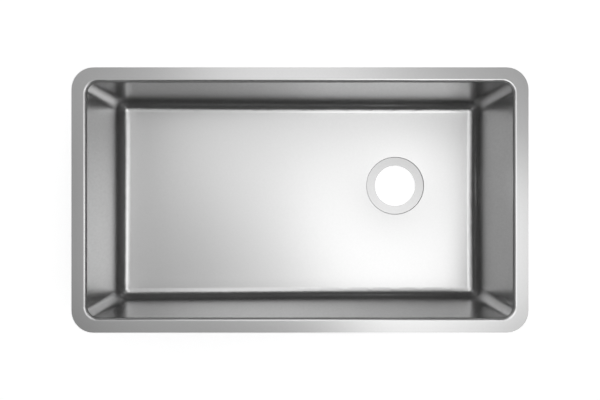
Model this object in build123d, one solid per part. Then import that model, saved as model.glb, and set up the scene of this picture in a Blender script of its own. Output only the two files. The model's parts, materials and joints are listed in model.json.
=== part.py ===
from build123d import *
import math
import os

# Undermount kitchen sink: a bowl drawn from one stainless sheet, its sprayed undercoat and the
# sound-deadening pads stuck to it.
#
# Millimetres. +X is to the right and +Y to the rear, as a person who stands at the sink sees them,
# and +Z is up. The origin is the centre of the bowl's mouth, in the plane of the flange's top face,
# which meets the underside of the worktop. The bowl hangs below that plane.

# ---- the sheet and its flange -------------------------------------------------------------------
SHEET = 1.5  # 16 gauge stainless
FLANGE_LENGTH = 787.4  # 31 in
FLANGE_WIDTH = 457.2  # 18 in
FLANGE_CORNER = 38.0
MOUTH_LENGTH = 736.6  # 29 in, between the walls' faces in the flange's plane
MOUTH_WIDTH = 406.4  # 16 in
LIP_RADIUS = 5.4  # the roll from the flange's top down into the bowl

# ---- the bowl -----------------------------------------------------------------------------------
DRAFT = 1.4  # degrees, each wall leaning in towards the floor
BOWL_RADIUS = 20.0  # inside radius of the upright corners and of the floor's edge
WALL_ZONE = 0.45  # an edge further from the middle than this share of the mouth meets a wall
DEPTH_AT_DRAIN = 227.1  # from the flange's top to the floor beside the drain: 9 in with the sheet
FLOOR_FALL = 0.05  # the floor falls 1 in 20 to the drain from every side

# ---- the drain recess ---------------------------------------------------------------------------
DRAIN_X = 197.0
DRAIN_Y = 29.5
HOLE_RADIUS = 41.5
RECESS_RADIUS = 59.3  # where the step down to the level ledge starts
STEP_DEPTH = 3.0
STEP_RUN = 0.4  # how far the step leans in as it drops
UPPER_STEP_RADII = [0.5, 0.4]  # of the step's rim and of its foot, on the sheet's upper face
LOWER_STEP_RADII = [0.4, 1.5]  # of the same two on its lower face
JOIN_RADIUS = 66.0  # where the recess runs out into the plain floor

# ---- the undercoat ------------------------------------------------------------------------------
COAT = 0.8
COAT_TOP = 24.0  # below the flange's top, where the sprayed coat starts
COAT_DRAIN_RADIUS = 74.0  # bare steel round the drain for the strainer's gasket and nut

# ---- the sound pads -----------------------------------------------------------------------------
PAD = 5.0
PAD_CORNER = 8.0
WALL_PAD_TOP = 62.0  # below the flange's top
WALL_PAD_HEIGHT = 96.0
LONG_WALL_PAD = 270.0  # each of the two on the front wall and the two on the rear wall
LONG_WALL_PAD_X = 158.0  # their centres, either side of the middle
END_WALL_PAD = 250.0
FLOOR_PAD_WIDTH = 290.0
MAIN_PAD_X = (-318.0, 72.0)
DRAIN_PAD_X = (92.0, 312.0)
DRAIN_PAD_RADIUS = 84.0  # the round cut-out in the pad under the drain

# ---- tools that cut ------------------------------------------------------------------------------
REACH = 700.0  # further from the drain than any corner of the sink
MARGIN = 40.0  # how far a cutting block stands past what it cuts
NEAR = 0.001  # edges within this of a plane lie in it

WALL_COSINE = math.cos(math.radians(DRAFT))
FLOOR_COSINE = math.cos(math.atan(FLOOR_FALL))
APEX_DEPTH = DEPTH_AT_DRAIN + FLOOR_FALL * RECESS_RADIUS  # the pitched floor's point, in the hole


def floor_height(radius, offset=0.0):
    """Height of the pitched floor at a distance from the drain's axis, grown outwards by offset."""
    return -APEX_DEPTH + FLOOR_FALL * radius - offset / FLOOR_COSINE


def turned_at_drain(outline):
    """A solid turned about the drain's axis from a closed outline in the XZ plane."""
    return Pos(DRAIN_X, DRAIN_Y, 0) * revolve(make_face(outline), Axis.Z)


def drain_disc(radius):
    """A round bar through the floor on the drain's axis."""
    return Pos(DRAIN_X, DRAIN_Y, 0) * Cylinder(radius, 3 * DEPTH_AT_DRAIN)


def all_above(height):
    """A block that holds everything over a level plane."""
    upwards = (Align.CENTER, Align.CENTER, Align.MIN)
    return Pos(0, 0, height) * Box(2 * REACH, 2 * REACH, DEPTH_AT_DRAIN, align=upwards)


def drafted_block(offset):
    """The four leaning walls as one block down past the floor, grown outwards by offset."""
    grown = 2 * (offset / WALL_COSINE + MARGIN * math.tan(math.radians(DRAFT)))
    top = Pos(0, 0, MARGIN) * Rectangle(MOUTH_LENGTH + grown, MOUTH_WIDTH + grown)
    return extrude(top, APEX_DEPTH + 2 * MARGIN, dir=(0, 0, -1), taper=DRAFT)


def above_floor(offset):
    """Everything above the pitched floor, grown outwards by offset."""
    corners = [
        (0, 0, floor_height(0, offset)),
        (REACH, 0, floor_height(REACH, offset)),
        (REACH, 0, MARGIN),
        (0, 0, MARGIN),
    ]
    return turned_at_drain(Polyline(*corners, close=True))


def is_near_a_wall(point):
    """Whether a point of the bowl's form lies in its outermost parts."""
    return abs(point.X) > WALL_ZONE * MOUTH_LENGTH or abs(point.Y) > WALL_ZONE * MOUTH_WIDTH


def bowl_form(offset, top=0.0):
    """The rounded hollow of the bowl as a solid up to the height top, grown outwards by offset."""
    block = drafted_block(offset) & above_floor(offset)
    walls = [e for e in block.edges() if e.center().Z < 0 and is_near_a_wall(e.center())]
    return fillet(walls, BOWL_RADIUS + offset) - all_above(top)


def plate(length, width, low, high):
    """A flat plate with the flange's rounded corners between two heights."""
    return Pos(0, 0, low) * extrude(RectangleRounded(length, width, FLANGE_CORNER), high - low)


def mouth_edges(solid, height):
    """The loop where the bowl's walls meet a level plane, inside the flange's outline."""
    limit_x = (MOUTH_LENGTH + FLANGE_LENGTH) / 4
    limit_y = (MOUTH_WIDTH + FLANGE_WIDTH) / 4
    level = solid.edges().filter_by_position(Axis.Z, height - NEAR, height + NEAR)
    return [e for e in level if abs(e.center().X) < limit_x and abs(e.center().Y) < limit_y]


def hollow():
    """What the sheet leaves free: the bowl's hollow, flaring over the lip at its mouth."""
    over_flange = plate(FLANGE_LENGTH + MARGIN, FLANGE_WIDTH + MARGIN, 0, MARGIN)
    free = bowl_form(0) + over_flange
    return fillet(mouth_edges(free, 0), LIP_RADIUS)


def outer_form():
    """The sheet's outside as a solid: the flange's plate with the bowl under it."""
    flange = plate(FLANGE_LENGTH, FLANGE_WIDTH, -SHEET, 0)
    body = bowl_form(SHEET, -SHEET) + flange
    return fillet(mouth_edges(body, -SHEET), LIP_RADIUS - SHEET)


def under_corner(radius, height, first_slope, second_slope):
    """The corner on the sheet's lower face under a corner of its upper face.

    The slopes are the angles at which the face falls towards the drain before and after the corner.
    """
    middle = (first_slope + second_slope) / 2
    reach = SHEET / math.cos((second_slope - first_slope) / 2)
    return (radius + reach * math.sin(middle), 0, height - reach * math.cos(middle))


def recess():
    """The ring of sheet round the drain hole: a step down to a level ledge for the strainer."""
    foot_radius = RECESS_RADIUS - STEP_RUN
    rim_height = floor_height(RECESS_RADIUS)
    ledge_height = rim_height - STEP_DEPTH
    upper = FilletPolyline(
        (JOIN_RADIUS, 0, floor_height(JOIN_RADIUS)),
        (RECESS_RADIUS, 0, rim_height),
        (foot_radius, 0, ledge_height),
        (HOLE_RADIUS, 0, ledge_height),
        radius=UPPER_STEP_RADII,
    )
    floor_slope = math.atan(FLOOR_FALL)
    step_slope = math.atan2(STEP_DEPTH, STEP_RUN)
    lower = FilletPolyline(
        (JOIN_RADIUS, 0, floor_height(JOIN_RADIUS, SHEET)),
        under_corner(RECESS_RADIUS, rim_height, floor_slope, step_slope),
        under_corner(foot_radius, ledge_height, step_slope, 0),
        (HOLE_RADIUS, 0, ledge_height - SHEET),
        radius=LOWER_STEP_RADII,
    )
    outer_end = Line(upper @ 0, lower @ 0)
    hole_wall = Line(upper @ 1, lower @ 1)
    return turned_at_drain(upper + lower + outer_end + hole_wall)


def bowl():
    """The one-piece drawn sheet: flange, lip, walls, pitched floor and drain recess."""
    sheet = outer_form() - hollow()
    return (sheet - drain_disc(JOIN_RADIUS)) + recess()


def layer(inside, outside):
    """The space between two growths of the bowl's form."""
    return bowl_form(outside) - bowl_form(inside)


def undercoat():
    """The sprayed coat on the walls and floor, stopping short of the flange and of the drain."""
    return layer(SHEET, SHEET + COAT) - all_above(-COAT_TOP) - drain_disc(COAT_DRAIN_RADIUS)


def wall_bar(width, centre, facing):
    """A bar out through one wall where a pad is stuck. facing is the way that the wall looks."""
    outwards = Vector(facing)
    along = outwards.cross(Vector(0, 0, 1))
    middle = along * centre + Vector(0, 0, -WALL_PAD_TOP - WALL_PAD_HEIGHT / 2)
    outline = RectangleRounded(width, WALL_PAD_HEIGHT, PAD_CORNER)
    return extrude(Plane(middle, x_dir=along, z_dir=outwards) * outline, REACH)


def floor_bar(low_x, high_x):
    """A bar down through the floor where a pad is stuck."""
    outline = RectangleRounded(high_x - low_x, FLOOR_PAD_WIDTH, PAD_CORNER)
    return Pos((low_x + high_x) / 2, 0, -COAT_TOP) * extrude(outline, -2 * DEPTH_AT_DRAIN)


def pads():
    """Every sound pad by name, each pressed onto the undercoat."""
    bars = {
        "left_wall_pad": wall_bar(END_WALL_PAD, 0, (-1, 0, 0)),
        "right_wall_pad": wall_bar(END_WALL_PAD, 0, (1, 0, 0)),
        "front_left_wall_pad": wall_bar(LONG_WALL_PAD, LONG_WALL_PAD_X, (0, -1, 0)),
        "front_right_wall_pad": wall_bar(LONG_WALL_PAD, -LONG_WALL_PAD_X, (0, -1, 0)),
        "rear_left_wall_pad": wall_bar(LONG_WALL_PAD, -LONG_WALL_PAD_X, (0, 1, 0)),
        "rear_right_wall_pad": wall_bar(LONG_WALL_PAD, LONG_WALL_PAD_X, (0, 1, 0)),
        "main_floor_pad": floor_bar(*MAIN_PAD_X),
        "drain_floor_pad": floor_bar(*DRAIN_PAD_X) - drain_disc(DRAIN_PAD_RADIUS),
    }
    pad_layer = layer(SHEET + COAT, SHEET + COAT + PAD)
    return {name: pad_layer & bar for name, bar in bars.items()}


def main():
    os.makedirs("parts", exist_ok=True)
    pieces = {"bowl": bowl(), "undercoat": undercoat(), **pads()}
    for name, piece in pieces.items():
        box = piece.bounding_box()
        print(f"{name}: {piece.volume:.0f} mm3, X {box.min.X:.1f} to {box.max.X:.1f},")
        print(f"    Y {box.min.Y:.1f} to {box.max.Y:.1f}, Z {box.min.Z:.2f} to {box.max.Z:.2f}")
        export_step(piece, f"parts/{name}.step")


main()
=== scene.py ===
import json
import math

import bmesh
import bpy
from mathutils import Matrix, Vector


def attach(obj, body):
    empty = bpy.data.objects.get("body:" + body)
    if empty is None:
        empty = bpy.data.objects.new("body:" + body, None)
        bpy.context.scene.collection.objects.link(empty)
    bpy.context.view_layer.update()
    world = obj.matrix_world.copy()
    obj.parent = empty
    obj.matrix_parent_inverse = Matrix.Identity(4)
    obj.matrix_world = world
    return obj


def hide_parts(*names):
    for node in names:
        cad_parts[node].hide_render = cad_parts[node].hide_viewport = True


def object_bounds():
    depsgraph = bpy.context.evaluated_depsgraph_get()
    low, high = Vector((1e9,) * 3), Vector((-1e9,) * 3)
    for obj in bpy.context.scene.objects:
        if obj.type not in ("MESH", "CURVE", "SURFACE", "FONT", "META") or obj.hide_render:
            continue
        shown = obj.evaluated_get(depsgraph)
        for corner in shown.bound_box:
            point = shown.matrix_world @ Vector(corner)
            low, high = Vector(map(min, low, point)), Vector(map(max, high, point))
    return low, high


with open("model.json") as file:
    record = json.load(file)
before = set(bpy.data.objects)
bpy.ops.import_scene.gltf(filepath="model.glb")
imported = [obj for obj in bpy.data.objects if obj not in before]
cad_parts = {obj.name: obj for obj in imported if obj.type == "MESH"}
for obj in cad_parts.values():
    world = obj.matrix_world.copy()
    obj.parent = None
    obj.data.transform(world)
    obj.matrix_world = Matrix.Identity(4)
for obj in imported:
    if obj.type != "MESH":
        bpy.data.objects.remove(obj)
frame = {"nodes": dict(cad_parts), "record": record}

cad_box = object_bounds()
nodes = frame["nodes"]
mounts = {mount["name"]: mount for mount in frame["record"]["mounts"]}

# An undermount kitchen sink of satin stainless steel, seen from straight above on a white bench.
#
# Metres. +X is to the right, +Y to the rear and +Z up. The origin is the centre of the bowl's mouth,
# in the plane of the flange's top face.
MILLIMETRE = 0.001

# ---- the camera ----------------------------------------------------------------------------------
CAMERA_HEIGHT = 1.126  # above the flange's top face
VIEW_WIDTH = 1.0333  # across the picture, in the plane of the flange's top face
SENSOR_WIDTH = 36.0  # millimetres

# ---- the panels of light -------------------------------------------------------------------------
CEILING_HEIGHT = 1.5  # the ceiling panels are level and face straight down
PANEL_STEP = 0.005  # they hang under one another, so that none lies in another's plane
CEILING_PANELS = {
    # name: (centre x, centre y, length x, length y, watts)
    "rear_strip": (0.0, 1.1, 1.1, 0.4, 1.8),
    "key_panel": (0.55, -0.35, 0.7, 1.1, 1.9),
    "right_panel": (0.7, -0.2, 1.8, 0.7, 2.9),
    "middle_panel": (-0.1, 0.6, 0.7, 1.2, 1.7),
    "rear_panel": (0.0, 0.55, 2.5, 0.7, 3.1),
    "right_strip": (0.35, -0.35, 0.35, 1.8, 0.8),
    "left_panel": (-0.55, -0.35, 0.7, 1.1, 0.8),
    "wide_panel": (-0.1, -0.2, 2.4, 0.7, 1.7),
}
REAR_WALL_PANEL = (1.3, 0.8, 3.2, 1.4, 0.8)  # y, z, length, height, watts
LOW_PANELS = {
    # name: (quarter turns about the sink, watts); they stand round the bench, all below the flange
    "low_front_panel": (0, 14.0),
    "low_right_panel": (1, 11.0),
    "low_rear_panel": (2, 12.0),
    "low_left_panel": (3, 9.0),
}
LOW_PANEL_SIZE = (2.4, 0.18)
LOW_PANEL_DISTANCE = 1.7
LOW_PANEL_HEIGHT = -0.11
QUARTER_TURN = math.pi / 2

# ---- the room ------------------------------------------------------------------------------------
ROOM_LIGHT = 0.04  # the dim room that the panels hang in
ROOM_CORNER = 0.55  # how bright the room's four pale corners look in metal
CORNER_WIDTH = (0.80, 0.97)  # from the square of the sine of twice the bearing, where a corner starts
CORNER_TOP = (0.643, 0.5)  # from the sine of the elevation, where a corner ends
ROOM_SKIRT = 0.5  # how bright the foot of the room's walls looks straight off the steel
SKIRT_TOP = (0.34, 0.26)  # from the sine of the elevation, where the foot of the walls ends
ONE_BOUNCE = 2.5  # a ray that has left the steel once has a lower depth than this
WHITE = (1.0, 1.0, 1.0, 1.0)
TINY = 1e-6  # keeps a division clear of nought

# ---- the bench -----------------------------------------------------------------------------------
BENCH_SIZE = 12.0
BENCH_PAINT = 0.85
BENCH_WHITE = 0.68  # what the bench adds near the sink, where it is seen straight or in metal
BENCH_FAR_WHITE = 1.0  # the same beyond the reach of the lamps
BENCH_NEAR, BENCH_FAR = 0.8, 1.5  # how far from the middle the one runs into the other

# ---- the satin steel -----------------------------------------------------------------------------
STEEL_GREY = 0.60
STEEL_ROUGHNESS = 0.285
POLISHING_LINES = {"Grain Size": 0.25 * MILLIMETRE, "Fineness": 0.6}
LINE_STRETCH = 0.02  # the lines' width as a share of their length
LINE_DEPTH = 0.002 * MILLIMETRE
LINE_DULLNESS = 0.006  # how much the roughness swings from line to line
FROSTING = {"Grain Size": 4.0 * MILLIMETRE, "Fineness": 0.4}  # the faint mottling that the lines leave
FROST_STRETCH = 0.3  # the mottling's width as a share of its height on the walls
FROST_SHADE = 0.05  # how much the grey swings with it on level steel
WALL_FROST_SHADE = 0.17  # the same on the walls
STEEL_CLOUD = {"Patch Size": 90.0 * MILLIMETRE, "Contrast": 1.2}
CLOUD_SHADE = 0.02
CLOUD_DULLNESS = 0.012
END_WALL_FACING = 0.7  # a face that looks along X by more than this is on an end wall
LEDGE_RADIUS = 58.9 * MILLIMETRE  # the foot of the step round the drain's level ledge
LEDGE_BLUR = 0.25 * MILLIMETRE  # either side of that radius, where the one finish runs into the other
LEDGE_GREY = 0.93  # the ledge's brightness as a share of the other steel's
LEDGE_DULLNESS = 0.04  # what the ledge adds to the roughness

# ---- the sprayed undercoat -----------------------------------------------------------------------
COAT_COLOUR = (0.46, 0.47, 0.48)
COAT_ROUGHNESS = 0.72
PEBBLES = {"Grain Size": 3.2 * MILLIMETRE, "Fineness": 0.55}
PEBBLE_DEPTH = 0.7 * MILLIMETRE
PEBBLE_PIT_PAINTED_SHADE = 0.80  # painted shade: the brightness between the pebbles as a share of that on them
COAT_CLOUD = {"Patch Size": 160.0 * MILLIMETRE, "Contrast": 1.6}
COAT_CLOUD_SHADE = 0.12
COAT_CLOUD_DULLNESS = 0.16
COAT_RUBS = {"Mark Size": 50.0 * MILLIMETRE, "Cover": 0.30}
COAT_RUB_LIGHTENING = 0.12
COAT_RUB_SHINE = 0.15  # what a rubbed mark takes off the roughness

# ---- the rubber pads -----------------------------------------------------------------------------
PAD_COLOUR = (0.06, 0.06, 0.065)
PAD_ROUGHNESS = 0.70
PAD_GRAIN = {"Grain Size": 0.9 * MILLIMETRE, "Fineness": 0.7}
PAD_GRAIN_DEPTH = 0.15 * MILLIMETRE
# painted shade: the brightness in the pits of the rubber's grain as a share of that on its bumps
PAD_PIT_PAINTED_SHADE = 0.6
PAD_CLOUD = {"Patch Size": 70.0 * MILLIMETRE, "Contrast": 1.8}
PAD_CLOUD_SHADE = 0.30
PAD_CLOUD_DULLNESS = 0.14
PAD_RUBS = {"Mark Size": 35.0 * MILLIMETRE, "Cover": 0.42}
PAD_RUB_LIGHTENING = 0.8
PAD_RUB_DULLNESS = 0.12
PAD_EDGE = 1.2 * MILLIMETRE  # the rounding of a die-cut pad's rim
PAD_EDGE_STEPS = 3
WELD = MILLIMETRE / 100  # vertices nearer than this are one
SHARP = math.radians(40)  # an edge that turns by more than this is a rim

# ---- the shared effects --------------------------------------------------------------------------
GRAIN_DETAIL = 2.0
PIT_RANGE = (0.28, 0.44)  # the grain's heights at which a pit is full and is gone
CLOUD_DETAIL = 3.0
RUB_DETAIL = 4.0
RUB_START = 0.72  # the noise over which a mark starts where the cover is nought
RUB_SPREAD = 0.4  # how far a full cover lowers that
RUB_EDGE = 6.0  # how quickly a mark comes up at its rim
RUB_BREAK = 14.0  # how much finer the grain is that breaks a mark up
RUB_BREAK_RANGE = (0.35, 0.65)
RUB_BREAK_LEAST = 0.2  # what is left of a mark where it is broken most


# ---- node trees ----------------------------------------------------------------------------------
def fill(tree, node, values):
    """Gives a node's sockets their values, or links them where the value is another node's socket."""
    for socket, value in values.items():
        if isinstance(value, bpy.types.NodeSocket):
            tree.links.new(value, node.inputs[socket])
        else:
            node.inputs[socket].default_value = value
    return node


def place(tree, kind, values=None, **settings):
    """Adds a node with its settings and values, and returns it."""
    node = tree.nodes.new(kind)
    for name, value in settings.items():
        setattr(node, name, value)
    return fill(tree, node, values or {})


def reckon(tree, operation, first, second=0.0):
    """One piece of arithmetic on two numbers or sockets."""
    return place(tree, "ShaderNodeMath", {0: first, 1: second}, operation=operation).outputs[0]


def product(tree, first, *others):
    """Numbers or sockets multiplied together."""
    for other in others:
        first = reckon(tree, "MULTIPLY", first, other)
    return first


def reckon_vector(tree, operation, values):
    """One piece of arithmetic on vectors or sockets, as all of its node's outputs."""
    return place(tree, "ShaderNodeVectorMath", values, operation=operation).outputs


def spread(tree, value, low, high, from_low=0.0, from_high=1.0):
    """A value carried evenly from one range to another."""
    values = {"Value": value, "From Min": from_low, "From Max": from_high, "To Min": low, "To Max": high}
    return place(tree, "ShaderNodeMapRange", values).outputs["Result"]


def about(tree, value, middle, swing):
    """A value from 0 to 1 carried to a middle, give or take half a swing."""
    return spread(tree, value, middle - swing / 2, middle + swing / 2)


def tinted(tree, colour, factor):
    """A colour made lighter or darker by a factor that changes over the surface."""
    return reckon_vector(tree, "SCALE", {0: colour, "Scale": factor})[0]


def noise(tree, position, scale, detail, roughness=0.5):
    """Soft noise from 0 to 1 about a half."""
    values = {"Vector": position, "Scale": scale, "Detail": detail, "Roughness": roughness}
    return place(tree, "ShaderNodeTexNoise", values).outputs["Fac"]


def new_group(name, inputs, outputs):
    """An empty node group, and its own inputs and outputs. inputs is {name: the default or None}."""
    group = bpy.data.node_groups.new(name, "ShaderNodeTree")
    for title, default in inputs.items():
        kind = "NodeSocketVector" if default is None else "NodeSocketFloat"
        socket = group.interface.new_socket(title, in_out="INPUT", socket_type=kind)
        if default is not None:
            socket.default_value = default
    for title in outputs:
        group.interface.new_socket(title, in_out="OUTPUT", socket_type="NodeSocketFloat")
    return group, group.nodes.new("NodeGroupInput").outputs, group.nodes.new("NodeGroupOutput").inputs


def new_material(name):
    """A material, its node tree and its Principled BSDF."""
    material = bpy.data.materials.new(name)
    material.use_nodes = True
    return material, material.node_tree, material.node_tree.nodes["Principled BSDF"]


# ---- shared effects ------------------------------------------------------------------------------
def build_grain():
    """Fine rounded grain of one size, and the pits between its bumps as a mask."""
    inputs = {"Position": None, "Grain Size": MILLIMETRE, "Fineness": 0.5}
    group, given, made = new_group("fine_grain", inputs, ["Height", "Pits"])
    scale = reckon(group, "DIVIDE", 1.0, given["Grain Size"])
    height = noise(group, given["Position"], scale, GRAIN_DETAIL, given["Fineness"])
    group.links.new(height, made["Height"])
    # the pits as a mask, which the coat and the rubber use for painted shade
    group.links.new(spread(group, height, 1.0, 0.0, *PIT_RANGE), made["Pits"])
    return group


def build_clouding():
    """The slow unevenness of a finish, in soft patches, from 0 to 1 about a half."""
    inputs = {"Position": None, "Patch Size": 0.1, "Contrast": 1.0}
    group, given, made = new_group("soft_clouding", inputs, ["Cloud"])
    scale = reckon(group, "DIVIDE", 1.0, given["Patch Size"])
    patches = noise(group, given["Position"], scale, CLOUD_DETAIL)
    swing = product(group, reckon(group, "SUBTRACT", patches, 0.5), given["Contrast"])
    group.links.new(reckon(group, "ADD", swing, 0.5), made["Cloud"])
    return group


def build_rubbing():
    """Sparse rubbed marks as a mask: faint patches, broken up by a finer grain."""
    inputs = {"Position": None, "Mark Size": 0.03, "Cover": 0.3}
    group, given, made = new_group("rubbed_marks", inputs, ["Marks"])
    scale = reckon(group, "DIVIDE", 1.0, given["Mark Size"])
    patches = noise(group, given["Position"], scale, RUB_DETAIL)
    threshold = reckon(group, "SUBTRACT", RUB_START, product(group, given["Cover"], RUB_SPREAD))
    past = product(group, reckon(group, "SUBTRACT", patches, threshold), RUB_EDGE)
    soft = place(group, "ShaderNodeClamp", {"Value": past}).outputs[0]
    fine = noise(group, given["Position"], product(group, scale, RUB_BREAK), GRAIN_DETAIL)
    broken = product(group, soft, spread(group, fine, RUB_BREAK_LEAST, 1.0, *RUB_BREAK_RANGE))
    group.links.new(broken, made["Marks"])
    return group


def use(tree, group, position, values):
    """Places a shared effect in a material with its own values, and returns what it puts out."""
    return place(tree, "ShaderNodeGroup", {"Position": position, **values}, node_tree=group).outputs


# ---- the materials -------------------------------------------------------------------------------
def polishing_lines(tree, grain, position, facing):
    """The height of the fine polishing lines.

    They run along X, but along Y on the end walls, whose faces look along X.
    """
    end_wall = reckon(tree, "GREATER_THAN", reckon(tree, "ABSOLUTE", facing["X"]), END_WALL_FACING)
    stretch = {
        "X": spread(tree, end_wall, LINE_STRETCH, 1.0),
        "Y": spread(tree, end_wall, 1.0, LINE_STRETCH),
        "Z": 1.0,
    }
    run = place(tree, "ShaderNodeCombineXYZ", stretch).outputs[0]
    drawn_out = reckon_vector(tree, "MULTIPLY", {0: position, 1: run})[0]
    return use(tree, grain, drawn_out, POLISHING_LINES)["Height"]


def frosting(tree, grain, position, facing):
    """The mottling as a brightness about 1, stronger on the walls than on the floor and the flange."""
    drawn_out = reckon_vector(tree, "MULTIPLY", {0: position, 1: (1, 1, FROST_STRETCH)})[0]
    mottling = use(tree, grain, drawn_out, FROSTING)["Height"]
    wall = reckon(tree, "SUBTRACT", 1.0, reckon(tree, "ABSOLUTE", facing["Z"]))
    swing = spread(tree, wall, FROST_SHADE, WALL_FROST_SHADE)
    frost = product(tree, reckon(tree, "SUBTRACT", mottling, 0.5), swing)
    return reckon(tree, "ADD", frost, 1.0)


def drain_ledge(tree, position):
    """A mask that is 1 on the pressed ledge round the drain hole and 0 on the rest of the sheet."""
    drain_x, drain_y, _ = mounts["drain_hole"]["pos_m"]
    level = reckon_vector(tree, "MULTIPLY", {0: position, 1: (1, 1, 0)})[0]
    from_drain = reckon_vector(tree, "DISTANCE", {0: level, 1: (drain_x, drain_y, 0)})["Value"]
    return spread(tree, from_drain, 1.0, 0.0, LEDGE_RADIUS - LEDGE_BLUR, LEDGE_RADIUS + LEDGE_BLUR)


def satin_sheet(grain, clouding):
    """Satin stainless, polished in fine level lines, and duller on the pressed ledge at the drain."""
    material, tree, shader = new_material("satin_sheet")
    where = place(tree, "ShaderNodeTexCoord").outputs
    position = where["Object"]
    facing = place(tree, "ShaderNodeSeparateXYZ", {"Vector": where["Normal"]}).outputs
    lines = polishing_lines(tree, grain, position, facing)
    frost = frosting(tree, grain, position, facing)
    cloud = use(tree, clouding, position, STEEL_CLOUD)["Cloud"]
    ledge = drain_ledge(tree, position)
    evenness = product(tree, frost, about(tree, cloud, 1.0, CLOUD_SHADE))
    cloudiness = about(tree, cloud, STEEL_ROUGHNESS, CLOUD_DULLNESS)
    dullness = reckon(tree, "ADD", cloudiness, about(tree, lines, 0.0, LINE_DULLNESS))
    relief = place(tree, "ShaderNodeBump", {"Height": lines, "Distance": LINE_DEPTH})
    fill(tree, shader, {
        "Base Color": product(tree, evenness, STEEL_GREY, spread(tree, ledge, 1.0, LEDGE_GREY)),
        "Metallic": 1.0,
        "Roughness": reckon(tree, "ADD", dullness, spread(tree, ledge, 0.0, LEDGE_DULLNESS)),
        "Normal": relief.outputs["Normal"],
    })
    return material


def sprayed_coat(grain, clouding, rubbing):
    """The grey coat as it dried from the spray gun: pebbled, a little patchy, rubbed here and there."""
    material, tree, shader = new_material("sprayed_coat")
    where = place(tree, "ShaderNodeTexCoord").outputs["Object"]
    pebbles = use(tree, grain, where, PEBBLES)
    cloud = use(tree, clouding, where, COAT_CLOUD)["Cloud"]
    rubbed = use(tree, rubbing, where, COAT_RUBS)["Marks"]
    # painted shade: the coat is made darker in the pits between the pebbles
    pits = spread(tree, pebbles["Pits"], 1.0, PEBBLE_PIT_PAINTED_SHADE)
    # the coat's patchiness times the painted shade in its pits
    patches_and_pit_shade = product(tree, about(tree, cloud, 1.0, COAT_CLOUD_SHADE), pits)
    lightened = reckon(tree, "ADD", patches_and_pit_shade, product(tree, rubbed, COAT_RUB_LIGHTENING))
    dullness = about(tree, cloud, COAT_ROUGHNESS, COAT_CLOUD_DULLNESS)
    relief = place(tree, "ShaderNodeBump", {"Height": pebbles["Height"], "Distance": PEBBLE_DEPTH})
    fill(tree, shader, {
        "Base Color": tinted(tree, COAT_COLOUR, lightened),
        "Roughness": reckon(tree, "SUBTRACT", dullness, product(tree, rubbed, COAT_RUB_SHINE)),
        "Normal": relief.outputs["Normal"],
    })
    return material


def damping_rubber(grain, clouding, rubbing):
    """The black rubber of the sound pads: matt and finely grained, with pale rubbed marks."""
    material, tree, shader = new_material("damping_rubber")
    where = place(tree, "ShaderNodeTexCoord").outputs["Object"]
    skin = use(tree, grain, where, PAD_GRAIN)
    cloud = use(tree, clouding, where, PAD_CLOUD)["Cloud"]
    rubbed = use(tree, rubbing, where, PAD_RUBS)["Marks"]
    # painted shade: the rubber is made darker in the pits of its grain
    pits = spread(tree, skin["Pits"], 1.0, PAD_PIT_PAINTED_SHADE)
    # the rubber's patchiness times the painted shade in its pits
    patches_and_pit_shade = product(tree, about(tree, cloud, 1.0, PAD_CLOUD_SHADE), pits)
    lightened = reckon(tree, "ADD", patches_and_pit_shade, product(tree, rubbed, PAD_RUB_LIGHTENING))
    dullness = about(tree, cloud, PAD_ROUGHNESS, PAD_CLOUD_DULLNESS)
    relief = place(tree, "ShaderNodeBump", {"Height": skin["Height"], "Distance": PAD_GRAIN_DEPTH})
    fill(tree, shader, {
        "Base Color": tinted(tree, PAD_COLOUR, lightened),
        "Roughness": reckon(tree, "ADD", dullness, product(tree, rubbed, PAD_RUB_DULLNESS)),
        "Normal": relief.outputs["Normal"],
    })
    return material


# ---- the pieces ----------------------------------------------------------------------------------
def finish_node(name, material):
    """A piece whose shape the frame holds already, in its real finish."""
    slots = nodes[name].data.materials
    slots.clear()
    slots.append(material)


def add_pad(name, material):
    """A sound pad in place of its solid, with the rim of its die-cut slab eased."""
    slab = bmesh.new()
    slab.from_mesh(nodes[name].data)
    bmesh.ops.remove_doubles(slab, verts=slab.verts, dist=WELD)
    rim = [e for e in slab.edges if e.is_manifold and e.calc_face_angle() > SHARP]
    bmesh.ops.bevel(
        slab,
        geom=rim,
        offset=PAD_EDGE,
        offset_type="OFFSET",
        segments=PAD_EDGE_STEPS,
        profile=0.5,
        affect="EDGES",
        clamp_overlap=False,
        harden_normals=False,
    )
    mesh = bpy.data.meshes.new(name + "_slab")
    slab.to_mesh(mesh)
    slab.free()
    mesh.polygons.foreach_set("use_smooth", [True] * len(mesh.polygons))
    mesh.set_sharp_from_angle(angle=SHARP)
    mesh.materials.append(material)
    pad = bpy.data.objects.new(name + "_slab", mesh)
    bpy.context.scene.collection.objects.link(pad)
    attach(pad, "root")
    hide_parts(name)


# ---- the camera ----------------------------------------------------------------------------------
def add_camera():
    """The camera straight above the middle of the bowl's mouth, with the rear at the top."""
    camera = bpy.data.cameras.new("overhead_camera")
    camera.sensor_fit = "HORIZONTAL"
    camera.sensor_width = SENSOR_WIDTH
    camera.lens = SENSOR_WIDTH * CAMERA_HEIGHT / VIEW_WIDTH
    holder = bpy.data.objects.new("overhead_camera", camera)
    holder.location = (0, 0, CAMERA_HEIGHT)
    bpy.context.scene.collection.objects.link(holder)
    bpy.context.scene.camera = holder


# ---- the panels of light -------------------------------------------------------------------------
def add_panel(name, place_at, size, watts):
    """One soft rectangular panel, facing straight down until it is turned."""
    light = bpy.data.lights.new(name, "AREA")
    light.shape = "RECTANGLE"
    light.size, light.size_y = size
    light.energy = watts
    panel = bpy.data.objects.new(name, light)
    panel.location = place_at
    bpy.context.scene.collection.objects.link(panel)
    return panel


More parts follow.
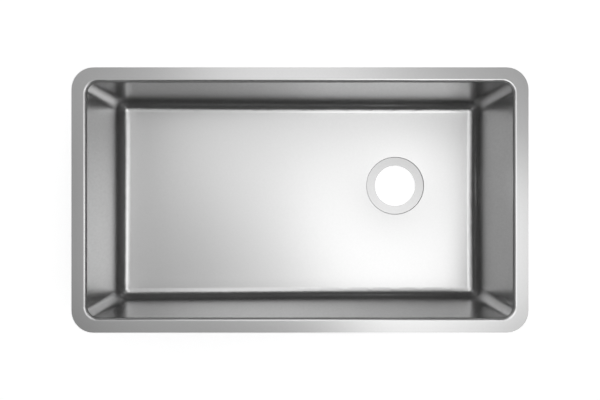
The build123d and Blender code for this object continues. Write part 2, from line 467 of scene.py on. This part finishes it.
def add_ceiling_panels():
    """The level panels over the sink."""
    for level, (name, (x, y, length_x, length_y, watts)) in enumerate(CEILING_PANELS.items()):
        add_panel(name, (x, y, CEILING_HEIGHT - level * PANEL_STEP), (length_x, length_y), watts)


def add_rear_wall_panel():
    """The upright panel behind the sink, facing it."""
    y, z, length, height, watts = REAR_WALL_PANEL
    panel = add_panel("rear_wall_panel", (0, y, z), (length, height), watts)
    panel.rotation_euler.x = -QUARTER_TURN


def add_low_panels():
    """The panels round the bench, which light the sink's outside. The steel doesn't mirror them."""
    for name, (quarters, watts) in LOW_PANELS.items():
        turn = quarters * QUARTER_TURN
        x, y = LOW_PANEL_DISTANCE * math.sin(turn), -LOW_PANEL_DISTANCE * math.cos(turn)
        panel = add_panel(name, (x, y, LOW_PANEL_HEIGHT), LOW_PANEL_SIZE, watts)
        panel.rotation_euler = (QUARTER_TURN, 0, turn)
        panel.visible_camera = False
        panel.visible_glossy = False


# ---- the room ------------------------------------------------------------------------------------
def room_corners(tree, along):
    """A mask of the room's four corners, by the direction along which it is seen.

    The square of the sine of twice the bearing is 4 x2 y2 / (x2 + y2)2, and is 1 in each corner.
    """
    x_squared = product(tree, along["X"], along["X"])
    y_squared = product(tree, along["Y"], along["Y"])
    level_squared = reckon(tree, "ADD", x_squared, y_squared)
    level_fourth = reckon(tree, "MAXIMUM", product(tree, level_squared, level_squared), TINY)
    cornerness = reckon(tree, "DIVIDE", product(tree, x_squared, y_squared, 4.0), level_fourth)
    in_corner = spread(tree, cornerness, 0.0, 1.0, *CORNER_WIDTH)
    return product(tree, in_corner, spread(tree, along["Z"], 0.0, 1.0, *CORNER_TOP))


def add_room():
    """A white backdrop to the camera, and to the metal a dim room with pale corners and a pale foot.

    Only steel that mirrors it straight shows the foot, so the bowl's deep edges stay dark.
    """
    world = bpy.data.worlds.new("room")
    bpy.context.scene.world = world
    world.use_nodes = True
    tree = world.node_tree
    direction = place(tree, "ShaderNodeTexCoord").outputs["Generated"]
    along = place(tree, "ShaderNodeSeparateXYZ", {"Vector": direction}).outputs
    path = place(tree, "ShaderNodeLightPath").outputs
    corner = product(tree, room_corners(tree, along), path["Is Glossy Ray"])
    straight = reckon(tree, "LESS_THAN", path["Ray Depth"], ONE_BOUNCE)
    straight_off = product(tree, straight, path["Is Glossy Ray"])
    foot = product(tree, spread(tree, along["Z"], 0.0, 1.0, *SKIRT_TOP), straight_off)
    corner_light = spread(tree, corner, ROOM_LIGHT, ROOM_CORNER)
    foot_light = spread(tree, foot, ROOM_LIGHT, ROOM_SKIRT)
    room = reckon(tree, "MAXIMUM", corner_light, foot_light)
    strength = reckon(tree, "MAXIMUM", room, path["Is Camera Ray"])
    fill(tree, tree.nodes["Background"], {"Color": WHITE, "Strength": strength})


# ---- the bench -----------------------------------------------------------------------------------
def bench_paint():
    """White paint that shows the sink's shadow from above, and can be seen through from below."""
    material = bpy.data.materials.new("bench_paint")
    material.use_nodes = True
    tree = material.node_tree
    tree.nodes.clear()
    path = place(tree, "ShaderNodeLightPath").outputs
    seen = reckon(tree, "MAXIMUM", path["Is Camera Ray"], path["Is Glossy Ray"])
    where = place(tree, "ShaderNodeTexCoord").outputs["Object"]
    away = reckon_vector(tree, "LENGTH", {0: where})["Value"]
    white = spread(tree, away, BENCH_WHITE, BENCH_FAR_WHITE, BENCH_NEAR, BENCH_FAR)
    glow = place(tree, "ShaderNodeEmission", {"Strength": product(tree, seen, white)})
    colour = (BENCH_PAINT, BENCH_PAINT, BENCH_PAINT, 1.0)
    paint = place(tree, "ShaderNodeBsdfDiffuse", {"Color": colour})
    front = place(tree, "ShaderNodeAddShader", {0: paint.outputs[0], 1: glow.outputs[0]})
    back = place(tree, "ShaderNodeBsdfTransparent")
    below = place(tree, "ShaderNodeNewGeometry").outputs["Backfacing"]
    face = place(tree, "ShaderNodeMixShader", {0: below, 1: front.outputs[0], 2: back.outputs[0]})
    place(tree, "ShaderNodeOutputMaterial", {"Surface": face.outputs[0]})
    return material


def add_bench():
    """The white bench that the sink stands on."""
    half = BENCH_SIZE / 2
    height = cad_box[0].z
    corners = [(-half, -half, height), (half, -half, height), (half, half, height), (-half, half, height)]
    mesh = bpy.data.meshes.new("bench")
    mesh.from_pydata(corners, [], [(0, 1, 2, 3)])
    mesh.materials.append(bench_paint())
    bench = bpy.data.objects.new("bench", mesh)
    bpy.context.scene.collection.objects.link(bench)


def main():
    add_camera()
    add_ceiling_panels()
    add_rear_wall_panel()
    add_low_panels()
    add_room()
    add_bench()
    grain, clouding, rubbing = build_grain(), build_clouding(), build_rubbing()
    finish_node("bowl", satin_sheet(grain, clouding))
    finish_node("undercoat", sprayed_coat(grain, clouding, rubbing))
    rubber = damping_rubber(grain, clouding, rubbing)
    for name in nodes:
        if name.endswith("_pad"):
            add_pad(name, rubber)


main()

bpy.context.scene.view_settings.view_transform = "Standard"
